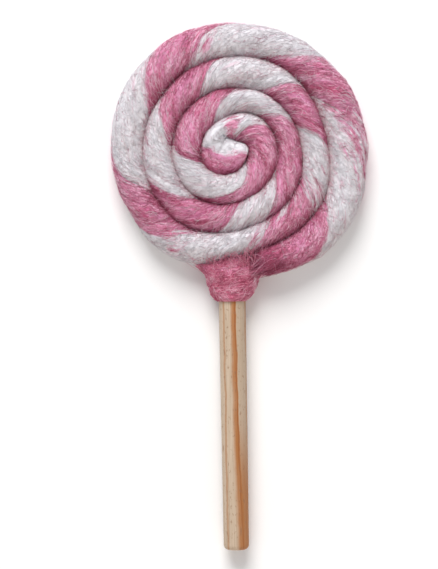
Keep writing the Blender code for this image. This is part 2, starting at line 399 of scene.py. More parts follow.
def finish_felt(tree, shader, colour, locks, hairs, roughened, relief):
    tree.links.new(colour, shader.inputs["Base Color"])
    height = combine(tree, "ADD", locks, combine(tree, "MULTIPLY", hairs, HAIR_HEIGHT))
    bump = add_node(tree, "ShaderNodeBump", {
        "Height": height, "Strength": roughened, "Distance": relief,
    })
    tree.links.new(bump.outputs["Normal"], shader.inputs["Normal"])
    shader.inputs["Roughness"].default_value = FELT_ROUGHNESS
    shader.inputs["Specular IOR Level"].default_value = FELT_SPECULAR
    shader.inputs["Sheen Weight"].default_value = FELT_SHEEN
    shader.inputs["Sheen Roughness"].default_value = SHEEN_ROUGHNESS


# The wool's colours from its darkest tone to its palest, and the painted shade that darkens each
# in the depth of a groove and at the rope's end.
PINK_TONES = (
    (0.0, (0.23, 0.018, 0.055)),
    (0.35, (0.48, 0.085, 0.18)),
    (0.65, (0.69, 0.275, 0.43)),
    (1.0, (0.89, 0.61, 0.73)),
)
MAUVE = (0.70, 0.29, 0.50)
WHITE_TONES = (
    (0.0, (0.54, 0.46, 0.46)),
    (0.35, (0.65, 0.61, 0.635)),
    (0.7, (0.73, 0.715, 0.75)),
    (1.0, (0.84, 0.83, 0.87)),
)
PINK_SHADE = (0.26, 0.02, 0.065)
WHITE_SHADE = (0.60, 0.38, 0.37)
# Shares of locks, hairs and patches in the tone, and what is taken off the three.
STRAND_SHARES = (0.42, 0.62, 0.54, 0.26)
# The most that patches of the pink turn mauve, that the white blushes, and that painted shade
# darkens each.
MAUVE_SHARE = 0.55
BLUSH_SHARE = 0.30
PINK_SHADE_SHARE = 0.9
WHITE_SHADE_SHARE = 0.7
# The white's tones are drawn together and lifted, and lifted more at the eye.
WHITE_SPREAD = 0.75
WHITE_LIFT = 0.11
EYE_LIFT = 0.30
# How far hairs fray the painted shade and the edge between the colours, and how soft that edge is,
# in mm.
SHADE_FRAY = 0.3
EDGE_FRAY = 1.8
EDGE_BLEND = 0.7
STRAND_BUMP = 0.2 * MM
PINK_ROUGHENED = 0.45
WHITE_ROUGHENED = 0.2


def strand_wool(name, roughened):
    """Felted wool whose fibres lie along the twist, and stray over the edge of a strand."""
    material, tree, shader = new_material(name)
    place = attribute(tree, "wound", "Vector")
    locks = grain(tree, place, (1.3, 1.3, 0.45), distortion=1.3)
    hairs = grain(tree, place, (3.0, 3.0, 1.9), detail=3.0, distortion=2.2, shift=3.7)
    patches = grain(tree, place, (0.35, 0.35, 0.10), shift=9.1)
    near_eye = attribute(tree, "near_eye")
    mixed = mixed_tones(tree, locks, hairs, patches, STRAND_SHARES)
    tint = grain(tree, place, (0.25, 0.25, 0.12), shift=30.0)
    tint = spread(tree, tint, 0.3, 1.0, 0.0, MAUVE_SHARE)
    pink = blended(tree, tint, ramp(tree, mixed, *PINK_TONES), MAUVE)
    soft = combine(tree, "MULTIPLY_ADD", mixed, WHITE_SPREAD, WHITE_LIFT)
    white = ramp(tree, combine(tree, "MULTIPLY_ADD", near_eye, EYE_LIFT, soft), *WHITE_TONES)
    blush = grain(tree, place, (0.9, 0.9, 0.09), shift=15.0)
    blush = spread(tree, blush, 0.62, 1.0, 0.0, BLUSH_SHARE)
    blush = combine(tree, "MULTIPLY", blush, combine(tree, "SUBTRACT", 1.0, near_eye))
    white = blended(tree, blush, white, pink)
    # Painted shade: the depth attribute darkens the wool in the grooves, at the outer end and
    # along its lower outer side.
    depth = unevened(tree, attribute(tree, "depth"), hairs, SHADE_FRAY)
    shade = spread(tree, depth, 0.15, 0.8, 0.0, PINK_SHADE_SHARE)
    pink = blended(tree, shade, pink, PINK_SHADE)
    shade = spread(tree, depth, 0.25, 1.0, 0.0, WHITE_SHADE_SHARE)
    white = blended(tree, shade, white, WHITE_SHADE)
    lean = unevened(tree, attribute(tree, "edge"), hairs, EDGE_FRAY)
    colour = blended(tree, spread(tree, lean, -EDGE_BLEND, EDGE_BLEND), white, pink)
    finish_felt(tree, shader, colour, locks, hairs, roughened, STRAND_BUMP)
    return material


# Painted shade darkens the outer end where it is worked into the collar, and its outer side over a
# longer stretch. The eye ends between the last two angles, and its own crease gets little painted
# shade.
END_SHADE = 0.62
END_SHADE_FROM = 1600.0
END_SHADE_REACH = 12.0
EDGE_SHADE = 0.45
EDGE_SHADE_OVER = (1572.0, 1590.0)
EYE_SHADE = 0.15
EYE_SWELL = 0.3
EYE_OVER = (350.0, 420.0)


def eye_nearness(angle):
    """How near a place is to the eye, by angle: the white is palest there."""
    return np.interp(angle, EYE_OVER, (1.0, 0.0))


def shaded(angle, around):
    """How much painted shade the wool gets: most in the grooves and where the collar holds it."""
    end = END_SHADE * np.clip((angle - END_SHADE_FROM) / END_SHADE_REACH, 0.0, 1.0)
    crease = np.where(np.cos(around) < 0.0, np.interp(angle, EYE_OVER, (EYE_SHADE, 1.0)), 1.0)
    edge = EDGE_SHADE * np.interp(angle, EDGE_SHADE_OVER, (0.0, 1.0))
    edge = edge * np.maximum(np.cos(around), 0.0)
    return np.maximum(neighbours(angle, around) * crease, np.maximum(end, edge))


def overlap_of_turns(angle, around):
    """How far the wool swells towards the next turn, more so at the eye, wound tightest."""
    return TURN_OVERLAP * neighbours(angle, around) * (1.0 + EYE_SWELL * eye_nearness(angle))


def valley_at(turned):
    """How near a place is to the split between the strands, from 0 to 1."""
    return (1.0 + np.cos(2.0 * turned)) / 2


def wind_strand(name, half, roughened):
    """Half 0 is the pink strand, before the split, and half 1 the white one after it."""
    bm, share, along = make_tube(STRAND_RINGS, STRAND_SIDES)
    length = along * rope_length
    angle = angle_at(length)
    split = split_angle(angle)
    overlap = STRAND_OVERLAP / ROPE_RADIUS
    first = math.pi * (half - 1) - overlap
    last = math.pi * half + overlap
    turned = first + (last - first) * np.minimum(share / SKIN_SHARE, 1.0)
    inside = ROPE_RADIUS * np.minimum(turned - first - overlap, last - overlap - turned)
    place = wound_place(length, turned)
    lift = SWELL + layered(place, WOOL_RELIEF) * MM + overlap_of_turns(angle, split + turned)
    lift = lift - EDGE_ROLL * np.maximum(EDGE_ROUND - inside, 0.0) ** 2
    points = on_rope(angle, split + turned, lift, valley_at(turned))
    sunk = np.full_like(length, SWELL - EDGE_ROLL * (EDGE_ROUND + STRAND_OVERLAP) ** 2)
    low = on_rope(angle, split + first, sunk)
    high = on_rope(angle, split + last, sunk)
    back = np.clip((share - SKIN_SHARE) / (1.0 - SKIN_SHARE), 0.0, 1.0)[:, None]
    points = np.where(back > 0.0, high + (low - high) * back, points)
    move_points(bm, points)
    piece = add_piece(name, bm, strand_wool(name, roughened))
    store(piece, "wound", "FLOAT_VECTOR", place)
    store(piece, "edge", "FLOAT", pink_lean(place, angle, split + turned, turned))
    # The painted shade, stored as the depth attribute.
    store(piece, "depth", "FLOAT", shaded(angle, split + turned))
    store(piece, "near_eye", "FLOAT", eye_nearness(angle))
    return piece


pink_strand = wind_strand("pink_wool_rope_strand", 0, PINK_ROUGHENED)
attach(pink_strand, "root")
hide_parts("pink_wool_strand")
white_strand = wind_strand("white_wool_rope_strand", 1, WHITE_ROUGHENED)
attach(white_strand, "root")
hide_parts("white_wool_strand")

# The wool's own fibres. Most lie along the twist, half felted in, and the rest are loose
# curls that stand a little off the rope and catch the light. They are plain wool, undyed at
# some tips, and are held by the felting alone.
FIBRE_SIDES = 3
NORMAL_STEP = 0.05 * MM
FLOOR_CLEARANCE = 0.12 * MM
SUNK_END = 0.12 * MM
SMALLEST_STEP = 1e-9
# How far fibres of one colour stray over the other's edge, in mm, and the shares that stray far.
FIBRE_STRAY = 0.5
WHITE_STRAYS = 0.03
PINK_STRAYS = 0.025
# How much painted shade darkens fibres where the wool under them is shaded, and how far those of
# one place share a tone.
SHADE_OF_FIBRES = 0.75
SHARED_TONE = 0.38
TONE_SIZE = (2.2, 2.2, 7.0)
# How the tones of single fibres are spread, for those in the felt and those across a groove.
TONE_DRAW = (1.8, 2.4)
BRIDGE_TONE_DRAW = (1.6, 2.4)
# More fibres are drawn than are kept, none deep in a groove and few low down on the rope: the
# heights below which they are thinned, from -1 to 1, and the shares that are kept there.
DRAWN_PER_FIBRE = 5
DEEPEST_FIBRE = 0.85
SIDE_BELOW = 0.1
SIDE_SHARE = 0.6
BACK_BELOW = -0.4
BACK_SHARE = 0.4
TIP_THICKNESS = 0.45
BRIDGE_TIP_THICKNESS = 0.5


def fibre_mesh(name, paths, normals, radii, tones, material):
    """One mesh of many closed three-sided fibres. Paths are (fibre, point, xyz)."""
    count, points, _ = paths.shape
    paths[..., 2] = np.maximum(paths[..., 2], FLOOR_CLEARANCE)
    ahead = np.gradient(paths, axis=1)
    ahead /= np.maximum(np.linalg.norm(ahead, axis=-1, keepdims=True), SMALLEST_STEP)
    side = np.cross(ahead, normals)
    side /= np.maximum(np.linalg.norm(side, axis=-1, keepdims=True), SMALLEST_STEP)
    up = np.cross(side, ahead)
    turns = 2.0 * math.pi * np.arange(FIBRE_SIDES) / FIBRE_SIDES
    offset = (np.sin(turns)[:, None] * side[:, :, None] + np.cos(turns)[:, None] * up[:, :, None])
    skin = paths[:, :, None] + offset * radii[:, :, None, None]
    start = points * FIBRE_SIDES * np.arange(count)[:, None, None]
    ring = FIBRE_SIDES * np.arange(points - 1)[:, None]
    here = np.arange(FIBRE_SIDES)
    ahead_side = (here + 1) % FIBRE_SIDES
    walls = np.stack((ring + here, ring + FIBRE_SIDES + here, ring + FIBRE_SIDES + ahead_side,
                      ring + ahead_side), -1).reshape(-1, 4)
    last = FIBRE_SIDES * (points - 1)
    caps = np.array((here, last + here[::-1]))
    walls = (walls + start).reshape(-1, 4)
    caps = (caps + start).reshape(-1, 3)
    mesh = bpy.data.meshes.new(name)
    mesh.vertices.add(skin.size // 3)
    mesh.vertices.foreach_set("co", skin.astype(np.float32).ravel())
    mesh.loops.add(walls.size + caps.size)
    corners = np.concatenate((walls.ravel(), caps.ravel())).astype(np.int32)
    mesh.loops.foreach_set("vertex_index", corners)
    mesh.polygons.add(len(walls) + len(caps))
    starts = np.concatenate((4 * np.arange(len(walls)), walls.size + 3 * np.arange(len(caps))))
    mesh.polygons.foreach_set("loop_start", starts.astype(np.int32))
    mesh.update(calc_edges=True)
    mesh.materials.append(material)
    mesh.shade_smooth()
    piece = bpy.data.objects.new(name, mesh)
    bpy.context.scene.collection.objects.link(piece)
    store(piece, "tone", "FLOAT", np.repeat(tones, points * FIBRE_SIDES))
    return piece


def fibre_wool(name, *tones):
    """Loose wool, each fibre in its own tone."""
    material, tree, shader = new_material(name)
    tree.links.new(ramp(tree, attribute(tree, "tone"), *tones), shader.inputs["Base Color"])
    shader.inputs["Roughness"].default_value = 0.8
    shader.inputs["Specular IOR Level"].default_value = 0.2
    shader.inputs["Sheen Weight"].default_value = 0.2
    return material


PINK_FIBRE_TONES = (
    (0.0, (0.28, 0.03, 0.08)),
    (0.4, (0.55, 0.13, 0.24)),
    (0.75, (0.77, 0.38, 0.52)),
    (1.0, (0.92, 0.78, 0.86)),
)
WHITE_FIBRE_TONES = (
    (0.0, (0.55, 0.26, 0.34)),
    (0.15, (0.64, 0.57, 0.59)),
    (0.5, (0.715, 0.69, 0.73)),
    (1.0, (0.82, 0.81, 0.84)),
)


def curled(draw, count, points, length, heading, curl):
    """How fibres that bend as they run lie about their middles, along and across."""
    turn = draw.normal(0.0, math.radians(heading), (count, 1))
    turn = turn + draw.normal(0.0, curl, (count, 1)) * np.linspace(-0.5, 0.5, points)
    step = draw.uniform(*length, (count, 1)) * MM / (points - 1)
    along = np.cumsum(np.cos(turn), 1) * step
    across = np.cumsum(np.sin(turn), 1) * step
    return along - along.mean(1, keepdims=True), across - across.mean(1, keepdims=True)


def arched(draw, count, points, arch, thickness):
    """How high fibres stand and how thick they are. Each starts and ends in the felt."""
    hump = np.sin(math.pi * np.linspace(0.0, 1.0, points)) ** 0.7
    lift = (draw.uniform(*arch, (count, 1)) * MM + SUNK_END) * hump - SUNK_END
    radii = draw.uniform(*thickness, (count, 1)) / 2 * MM
    return lift, radii * (TIP_THICKNESS + (1.0 - TIP_THICKNESS) * hump)


def toned(draw, places, pale):
    """A tone for each fibre, like that of the fibres about it."""
    tones = draw.beta(*TONE_DRAW, len(places)) + SHARED_TONE * soft_noise(places) + pale
    return np.clip(tones, 0.0, 1.0)


def rope_fibres(kind, count, points, seed, length, heading, curl, arch, thickness, pale):
    """Scatters fibres over the rope, and makes a pink and a white piece of them."""
    draw = np.random.default_rng(seed)
    drawn = DRAWN_PER_FIBRE * count
    along = draw.uniform(0.0, 1.0, drawn) ** 0.9 * rope_length
    turned = draw.uniform(-math.pi, math.pi, drawn)
    angle = angle_at(along)
    around = split_angle(angle) + turned
    lean = pink_lean(wound_place(along, turned), angle, around, turned)
    is_pink = lean + draw.normal(0.0, FIBRE_STRAY, drawn) > 0.0
    strays = np.where(is_pink, WHITE_STRAYS, PINK_STRAYS * (1.0 - eye_nearness(angle)))
    is_pink ^= draw.uniform(size=drawn) < strays
    up = np.sin(around)
    chance = np.where(up > SIDE_BELOW, 1.0, SIDE_SHARE)
    chance = chance * np.where(up > BACK_BELOW, 1.0, BACK_SHARE)
    keep = (neighbours(angle, around) < DEEPEST_FIBRE) & (draw.uniform(size=drawn) < chance)
    for colour, chosen, material in (("pink", is_pink, pink_fibre_wool),
                                     ("white", ~is_pink, white_fibre_wool)):
        chosen = np.flatnonzero(chosen & keep)[:count, None]
        forward, across = curled(draw, len(chosen), points, length, heading, curl)
        lengths = np.clip(along[chosen] + forward, 0.0, rope_length)
        turns = turned[chosen] + across / ROPE_RADIUS
        angles = angle_at(lengths)
        sides = split_angle(angles) + turns
        place = wound_place(lengths, turns)
        lift, radii = arched(draw, len(chosen), points, arch, thickness)
        lift = lift + layered(place, WOOL_RELIEF) * MM + SWELL + overlap_of_turns(angles, sides)
        paths = on_rope(angles, sides, lift, valley_at(turns))
        normals = on_rope(angles, sides, lift + NORMAL_STEP, valley_at(turns)) - paths
        # Painted shade: fibres darken where the wool under them is shaded.
        dark = SHADE_OF_FIBRES * shaded(angle[chosen[:, 0]], around[chosen[:, 0]])
        tones = toned(draw, place[:, 2] / TONE_SIZE, pale - dark)
        piece = fibre_mesh(f"{colour}_wool_{kind}", paths, normals, radii, tones, material)
        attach(piece, "root")


def spanning(start, end, points):
    """Straight runs from start to end, with how far along each point is and how arched."""
    part = np.linspace(0.0, 1.0, points)[:, None]
    return start[:, None] + (end - start)[:, None] * part, part, np.sin(math.pi * part)


def risen(draw, paths, low, high, hump):
    """Runs that arch up by between low and high, in mm."""
    return paths + (0.0, 0.0, 1.0) * (draw.uniform(low, high, (len(paths), 1, 1)) * MM * hump)


def thinned(draw, count, thickness, hump):
    """Radii of fibres that are thinner towards their tips."""
    radii = draw.uniform(*thickness, (count, 1)) / 2 * MM
    return radii * (BRIDGE_TIP_THICKNESS + (1.0 - BRIDGE_TIP_THICKNESS) * hump[:, 0])


def bridging_fibres(count, points, seed, thickness):
    """Fibres that are felted into one turn and reach over the groove to the next."""
    draw = np.random.default_rng(seed)
    angle = ROPE_FROM + (ROPE_TO - FULL_TURN - ROPE_FROM) * draw.uniform(0.0, 1.0, count) ** 0.6
    slip = draw.normal(0.0, 2.2 * MM, count) / np.linalg.norm(groove_points(angle), axis=-1)
    beyond = np.clip(angle + FULL_TURN + np.degrees(slip), FULL_TURN, ROPE_TO)
    start = on_rope(angle, draw.uniform(0.5, 1.2, count))
    end = on_rope(beyond, math.pi - draw.uniform(0.5, 1.2, count))
    paths, _, hump = spanning(start, end, points)
    across = np.cross(end - start, (0.0, 0.0, 1.0))
    across /= np.maximum(np.linalg.norm(across, axis=-1, keepdims=True), SMALLEST_STEP)
    paths = paths + (across * draw.normal(0.0, 0.8 * MM, (count, 1)))[:, None] * hump
    paths = risen(draw, paths, -0.3, 0.6, hump)
    radii = thinned(draw, count, thickness, hump)
    turned = -split_angle(angle)
    is_pink = pink_lean(wound_place(np.interp(angle, rope_angles, rope_lengths), turned), angle,
                        0.0 * angle, turned) > 0.0
    for colour, chosen, material in (("pink", is_pink, pink_fibre_wool),
                                     ("white", ~is_pink, white_fibre_wool)):
        normals = np.broadcast_to((0.0, 0.0, 1.0), paths[chosen].shape)
        tones = draw.beta(*BRIDGE_TONE_DRAW, len(normals))
        piece = fibre_mesh(f"{colour}_wool_bridges", paths[chosen], normals, radii[chosen],
                           tones, material)
        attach(piece, "root")


pink_fibre_wool = fibre_wool("pink_fibres", *PINK_FIBRE_TONES)
white_fibre_wool = fibre_wool("white_fibres", *WHITE_FIBRE_TONES)
rope_fibres("fibres", 9700, 4, 21, (1.3, 3.8), 50.0, 2.2, (0.0, 0.14), (0.075, 0.125), 0.0)
rope_fibres("curls", 6200, 6, 22, (2.4, 6.8), 80.0, 4.2, (0.05, 0.45), (0.055, 0.10), 0.24)
bridging_fibres(320, 6, 23, (0.05, 0.08))

# The collar. A wisp of pink wool is wrapped round the top of the stick and felted up over the
# lower edge of the disc, and that is all that holds the two together.
STICK_X = 0.37 * MM
# Place along Y, half widths to the left and right and half depth, in mm, from the lower lip
# upwards. The disc's lower edge hides the collar's top.
COLLAR_SECTIONS = (
    (-45.5, 4.50, 4.30, 4.50),
    (-45.1, 5.10, 4.60, 4.90),
    (-44.5, 5.85, 5.60, 5.15),
    (-43.6, 6.40, 6.30, 5.30),
    (-42.4, 6.90, 6.90, 5.45),
    (-40.6, 7.35, 7.75, 5.65),
    (-38.6, 7.85, 8.15, 5.85),
    (-37.6, 8.15, 8.80, 5.90),
    (-36.4, 8.50, 9.80, 5.85),
    (-35.0, 8.30, 10.60, 5.40),
    (-33.8, 7.60, 10.60, 4.60),
    (-32.6, 6.40, 9.80, 3.60),
    (-31.4, 4.60, 7.60, 2.40),
)
COLLAR_RINGS = 150
COLLAR_SIDES = 180
COLLAR_SMOOTHING = (-0.5, -0.25, 0.0, 0.25, 0.5)
COLLAR_SLANT = 0.16
COLLAR_RADIUS = 7.5
# A tuft of the wrap is drawn out to the left, under the edge of the disc, and is paler there.
TUFT_Y = -35.2
TUFT_REACH = 0.9
TUFT_PULL = (-4.4 * MM, 2.4 * MM)
TUFT = (-10.5, -34.6)
TUFT_PALE = (0.72, 0.46, 0.53)
# Painted shade darkens the wrap where the rope's end is worked into it.
JUNCTION = (7.6, -33.0)
JUNCTION_REACH = 2.8
JUNCTION_DEPTH = 0.75


def smoothed(at, profile, y):
    """One column of the collar's sections, evened out along Y, in metres."""
    nearby = [np.interp(y + step, at, profile) for step in COLLAR_SMOOTHING]
    return sum(nearby) / len(nearby) * MM


def on_collar(along, around, lift=0.0):
    """Points on the collar. Along runs from its lip to its upper edge, from 0 to 1."""
    low = COLLAR_SECTIONS[0][0]
    high = COLLAR_SECTIONS[-1][0]
    at, *profiles = np.array(COLLAR_SECTIONS).T
    y = low + (high - low) * along
    left, right, depth = (smoothed(at, profile, y) for profile in profiles)
    width = left + (right - left) * (1.0 + np.cos(around)) / 2
    pull = np.maximum(-np.cos(around), 0.0) ** 3 * np.exp(-((y - TUFT_Y) / TUFT_REACH) ** 2)
    x = STICK_X + (width + lift) * np.cos(around) + TUFT_PULL[0] * pull
    z = ROPE_MIDDLE_Z + (depth + lift) * np.sin(around)
    return np.stack((x, y * MM + TUFT_PULL[1] * pull, np.maximum(z, 0.0)), -1)


def wrapped_place(point, around):
    """A place on the collar's wrap, in mm: two round it and one up it, on a slant."""
    up = point[..., 1] / MM - COLLAR_SLANT * point[..., 0] / MM
    return np.stack((COLLAR_RADIUS * np.cos(around), COLLAR_RADIUS * np.sin(around), up), -1)


def near_junction(points):
    away = np.linalg.norm(points[:, :2] / MM - JUNCTION, axis=-1)
    return np.exp(-(away / JUNCTION_REACH) ** 2)


# Lumps, wraps and locks of wool that run round the collar: their height and size, in mm.
COLLAR_RELIEF = (
    (0.24, (3.0, 3.0, 2.2), 3.3), (0.17, (6.0, 6.0, 0.8), 11.0), (0.08, (2.5, 2.5, 0.38), 31.0),
)
COLLAR_SHARES = (0.40, 0.70, 0.34, 0.22)
# The most that patches turn mauve, and that the collar does where it reaches up to the disc.
COLLAR_MAUVE_SHARE = 0.3
UPPER_MAUVE_SHARE = 0.85
UPPER_FROM_Y = -39.0 * MM
UPPER_TO_Y = -34.5 * MM
TUFT_PALE_SHARE = 0.8
COLLAR_SHADE_SHARE = 0.9
# How far hairs fray the pale of the tuft and the painted shade.
PALE_FRAY = 0.6
COLLAR_SHADE_FRAY = 0.5
COLLAR_ROUGHENED = 0.6
COLLAR_BUMP = 0.18 * MM
COLLAR_TONE_SIZE = (3.0, 3.0, 2.2)
COLLAR_TONES = (
    (0.0, (0.30, 0.02, 0.06)),
    (0.35, (0.58, 0.10, 0.195)),
    (0.65, (0.76, 0.24, 0.36)),
    (1.0, (0.92, 0.56, 0.68)),
)
COLLAR_FIBRE_TONES = (
    (0.0, (0.36, 0.03, 0.085)),
    (0.4, (0.64, 0.14, 0.25)),
    (0.75, (0.84, 0.37, 0.50)),
    (1.0, (0.93, 0.70, 0.79)),
)


def collar_wool(name):
    """Felted wool whose fibres run round the stick."""
    material, tree, shader = new_material(name)
    place = attribute(tree, "wrapped", "Vector")
    locks = grain(tree, place, (0.25, 0.25, 1.6), distortion=0.6)
    hairs = grain(tree, place, (0.9, 0.9, 3.2), detail=3.0, distortion=1.2, shift=5.0)
    patches = grain(tree, place, (0.22, 0.22, 0.3), shift=2.0)
    mixed = mixed_tones(tree, locks, hairs, patches, COLLAR_SHARES)
    tint = grain(tree, place, (0.15, 0.15, 0.3), shift=30.0)
    tint = spread(tree, tint, 0.5, 1.0, 0.0, COLLAR_MAUVE_SHARE)
    apart = add_node(tree, "ShaderNodeSeparateXYZ", {
        "Vector": add_node(tree, "ShaderNodeTexCoord").outputs["Object"],
    })
    upper = spread(tree, apart.outputs["Y"], UPPER_FROM_Y, UPPER_TO_Y, 0.0, UPPER_MAUVE_SHARE)
    tint = combine(tree, "MAXIMUM", tint, upper)
    pink = blended(tree, tint, ramp(tree, mixed, *COLLAR_TONES), MAUVE)
    pale = unevened(tree, attribute(tree, "pale"), hairs, PALE_FRAY)
    pink = blended(tree, spread(tree, pale, 0.1, 0.8, 0.0, TUFT_PALE_SHARE), pink, TUFT_PALE)
    # Painted shade: the wrap darkens towards the rope's end, by the depth attribute.
    depth = unevened(tree, attribute(tree, "depth"), hairs, COLLAR_SHADE_FRAY)
    pink = blended(tree, spread(tree, depth, 0.2, 1.0, 0.0, COLLAR_SHADE_SHARE), pink, PINK_SHADE)
    finish_felt(tree, shader, pink, locks, hairs, COLLAR_ROUGHENED, COLLAR_BUMP)
    return material


bm, share, along = make_tube(COLLAR_RINGS, COLLAR_SIDES)
around = share * 2.0 * math.pi
plain = on_collar(along, around)
place = wrapped_place(plain, around)
move_points(bm, on_collar(along, around, layered(place, COLLAR_RELIEF) * MM))
collar = add_piece("pink_wool_wrap", bm, collar_wool("pink_wool_wrap"))
store(collar, "wrapped", "FLOAT_VECTOR", place)
# The painted shade about the rope's end.
store(collar, "depth", "FLOAT", JUNCTION_DEPTH * near_junction(plain))
away = np.linalg.norm(plain[:, :2] / MM - TUFT, axis=-1)
store(collar, "pale", "FLOAT", np.exp(-(away / TUFT_REACH / 2.0) ** 2))
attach(collar, "root")
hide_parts("pink_wool_collar")


def collar_fibres(name, count, points, seed, length, heading, curl, arch, thickness, pale):
    """Scatters fibres of the wrap over the collar, most of them round the stick."""
    draw = np.random.default_rng(seed)
    along = draw.uniform(0.02, 0.98, (count, 1))
    around = draw.uniform(0.0, 2.0 * math.pi, (count, 1))
    across, upwards = curled(draw, count, points, length, heading, curl)
    height = (COLLAR_SECTIONS[-1][0] - COLLAR_SECTIONS[0][0]) * MM
    along = along + (upwards - COLLAR_SLANT * np.sin(around) * across) / height
    along = np.clip(along, 0.0, 1.0)
    around = around + across / (COLLAR_RADIUS * MM)
    place = wrapped_place(on_collar(along, around), around)
    lift, radii = arched(draw, count, points, arch, thickness)
    lift = lift + layered(place, COLLAR_RELIEF) * MM
    paths = on_collar(along, around, lift)
    normals = on_collar(along, around, lift + NORMAL_STEP) - paths
    # Painted shade: fibres of the wrap darken near the rope's end.
    dark = SHADE_OF_FIBRES * near_junction(paths[:, 2])
    tones = toned(draw, place[:, 2] / COLLAR_TONE_SIZE, pale - dark)
    piece = fibre_mesh(name, paths, normals, radii, tones, collar_fibre_wool)
    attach(piece, "root")


collar_fibre_wool = fibre_wool("collar_fibres", *COLLAR_FIBRE_TONES)
collar_fibres("pink_wool_wrap_fibres", 3600, 4, 31, (1.8, 4.5), 20.0, 1.2, (0.0, 0.16),
              (0.10, 0.20), 0.0)
collar_fibres("pink_wool_wrap_curls", 2000, 6, 32, (2.2, 5.0), 45.0, 3.0, (0.05, 0.40),
              (0.07, 0.12), 0.15)


def tying_fibres(name, count, points, seed, thickness):
    """Fibres of the wrap that are felted up over the edge of the disc."""
    draw = np.random.default_rng(seed)
    around = draw.uniform(0.03 * math.pi, 0.9 * math.pi, count)
    start = on_collar(draw.uniform(0.55, 0.92, count), around)
    turn = np.degrees(np.arctan2(start[:, 1] - EYE_Y, start[:, 0])) + draw.normal(0.0, 5.0, count)
    angle = (GROOVE_FROM - turn) % FULL_TURN + 3.0 * FULL_TURN
    end = on_rope(angle, draw.uniform(0.3, 1.2, count))
    paths, _, hump = spanning(start, end, points)
    sway = draw.normal(0.0, 0.9 * MM, (count, 1, 1)) * hump
    paths = risen(draw, paths + (1.0, 0.0, 0.0) * sway, 0.0, 0.6, hump)
    radii = thinned(draw, count, thickness, hump)
    normals = np.broadcast_to((0.0, 0.0, 1.0), paths.shape)
    tones = draw.beta(*BRIDGE_TONE_DRAW, count)
    piece = fibre_mesh(name, paths, normals, radii, tones, collar_fibre_wool)
    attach(piece, "root")


tying_fibres("pink_wool_wrap_ties", 260, 6, 33, (0.07, 0.12))


# The stretch of the rope's outer end that is worked into the wrap, by angle.
JOINED_OVER = (1603.0, 1620.0)


def joining_fibres(name, count, points, seed, thickness):
    """Fibres of the rope's outer end that are worked into the wrap."""
    draw = np.random.default_rng(seed)
    start = on_collar(draw.uniform(0.55, 0.97, count), draw.uniform(0.04, 0.32, count) * math.pi)
    end = on_rope(draw.uniform(*JOINED_OVER, count), draw.uniform(0.2, 2.4, count))
    paths, part, hump = spanning(start, end, points)
    sway = draw.normal(0.0, 0.7 * MM, (count, 1, 1)) * hump
    sway = sway + draw.normal(0.0, 0.5 * MM, (count, 1, 1)) * np.sin(2.0 * math.pi * part)
    paths = risen(draw, paths + (0.3, 1.0, 0.0) * sway, 0.1, 0.9, hump)
    radii = thinned(draw, count, thickness, hump)
    normals = np.broadcast_to((0.0, 0.0, 1.0), paths.shape)
    # Their tones lean dark: painted shade where the rope's end meets the wrap.
    piece = fibre_mesh(name, paths, normals, radii, draw.beta(0.9, 2.6, count), pink_fibre_wool)
    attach(piece, "root")


joining_fibres("pink_wool_wrap_joins", 300, 7, 34, (0.08, 0.16))

# The stick. It is a length of softwood dowel, sanded bare, with its lower edge eased over. A
# band of darker late wood runs down it. It is pushed up into the collar and felted in.
STICK_TOP_Y = -36.2 * MM
STICK_END_Y = -123.7 * MM
STICK_TOP_RADIUS = 4.28 * MM
STICK_END_RADIUS = 3.98 * MM
STICK_MEAN_RADIUS = 4.1 * MM
STICK_LIP_Y = -45.4 * MM
STICK_ROUNDING = 1.6 * MM
WOOD_TONES = (
    (0.0, (0.45, 0.34, 0.24)),
    (0.5, (0.53, 0.41, 0.30)),
    (1.0, (0.60, 0.475, 0.36)),
)
LATE_WOOD = (0.38, 0.15, 0.045)
SHADED_WOOD = (0.42, 0.32, 0.23)
DARK_WOOD = (0.30, 0.095, 0.022)
SPECK_WOOD = (0.26, 0.13, 0.07)
# Small knots: place along Y and half length in mm, then place across and half width as shares.
KNOTS = (
    (-61.4, 1.2, 0.15, 0.025), (-60.9, 0.5, 0.62, 0.035), (-67.9, 0.6, 0.57, 0.03),
    (-91.6, 1.2, 0.07, 0.02), (-97.8, 0.9, 0.67, 0.02), (-117.6, 1.6, 0.66, 0.03),
)
# Across the stick, in shares of its width: how far the grain wavers and drifts, and the middle
# of the band of late wood, which wanders right on its way down.
GRAIN_WAVER = 0.02
GRAIN_DRIFT = 0.045
BAND_MIDDLE = 0.575
BAND_WANDER = 0.17
# From the band's middle: its left edge at the top and at the bottom, where it is full, and its
# right edge, which is lost over a stretch of the way down.
BAND_LEFT = (-0.20, -0.26)
BAND_FULL_FROM = -0.05
BAND_RIGHT = (0.055, 0.080)
RIGHT_EDGE_LOST = (0.40, 0.80)
# A dark core in the band and a thin line at the left: start, full from, full to, and end.
CORE_EDGES = (-0.02, 0.02, 0.025, 0.06)
THIN_EDGES = (0.12, 0.16, 0.18, 0.23)
WOOD_BUMP = 0.06 * MM
WOOD_ROUGHENED = 0.35
STICK_SIDES = 96
ROUNDING_SEGMENTS = 6


def stripe(tree, value, edges):
    """A stripe with soft edges, full between the middle two of its four places."""
    start, full_from, full_to, end = edges
    return combine(tree, "MULTIPLY", spread(tree, value, start, full_from),
                   spread(tree, value, full_to, end, 1.0, 0.0))


